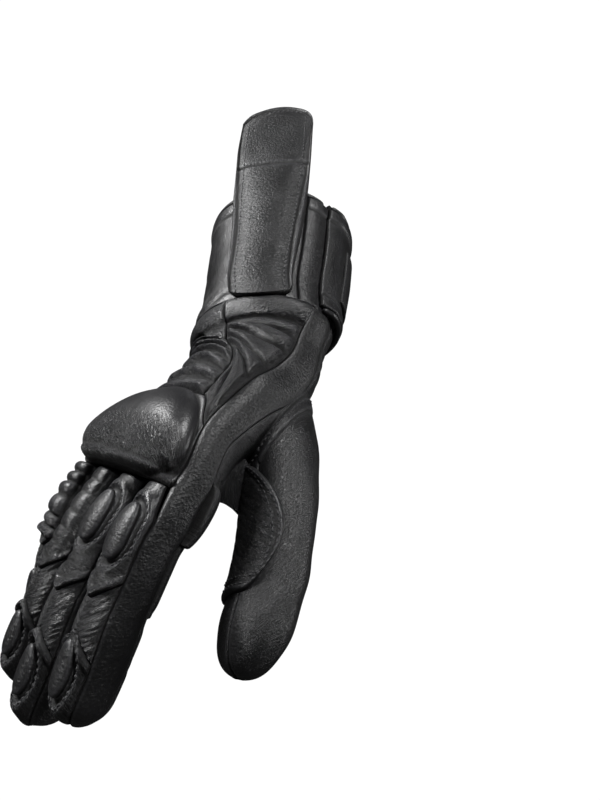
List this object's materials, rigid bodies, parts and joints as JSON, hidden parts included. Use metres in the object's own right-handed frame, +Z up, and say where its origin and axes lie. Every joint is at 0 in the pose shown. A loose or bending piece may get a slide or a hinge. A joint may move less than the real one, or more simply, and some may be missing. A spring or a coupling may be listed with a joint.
{
  "type": "motorcycle glove",
  "caption": "Long-cuff leather riding glove for the right hand, with a hard knuckle guard, finger pads, wrist pleats and a closure strap.",
  "frame": {"origin": "centre of the wrist inside the glove, where the arm holds it up", "axes": "+Z up along the forearm, -X to the back of the hand, -Y to the thumb side, fingers pointing down"},
  "size_m": [0.1043, 0.1505, 0.3617],
  "materials": {
    "leather": "soft black cowhide with a fine grain and a low sheen",
    "soft_leather": "thin black leather, wrinkled and folded",
    "grain_leather": "black leather with a strong pebble grain",
    "padded_leather": "smooth black leather over padding, a little shinier",
    "gusset_fabric": "matt black woven stretch fabric",
    "piping_leather": "smooth black bound edge"
  },
  "bodies": {
    "root": {"wrist_back": "leather", "outer_side": "leather", "palm_panel": "leather", "thumb_back": "leather", "thumb_front": "leather", "index_base": "leather", "index_back": "leather", "index_front": "leather", "middle_base": "leather", "middle_back": "leather", "middle_front": "leather", "ring_base": "leather", "ring_back": "leather", "ring_front": "leather", "little_base": "leather", "little_back": "leather", "little_front": "leather", "cuff_back": "leather", "cuff_palm": "leather", "placket": "leather", "cuff_flap": "leather", "flap_patch": "leather", "wrist_pleats": "soft_leather", "wrist_side": "soft_leather", "thumb_patch": "soft_leather", "index_ribs": "soft_leather", "middle_ribs": "soft_leather", "ring_ribs": "soft_leather", "little_ribs": "soft_leather", "side_band": "grain_leather", "closure_strap": "grain_leather", "knuckle_guard": "padded_leather", "index_pad": "padded_leather", "middle_pad": "padded_leather", "index_tip_pad": "padded_leather", "middle_tip_pad": "padded_leather", "ring_tip_pad": "padded_leather", "little_tip_pad": "padded_leather", "fabric_gusset": "gusset_fabric", "rim_piping": "piping_leather", "flap_piping_top": "piping_leather", "flap_piping_bottom": "piping_leather"}
  },
  "joints": []
}
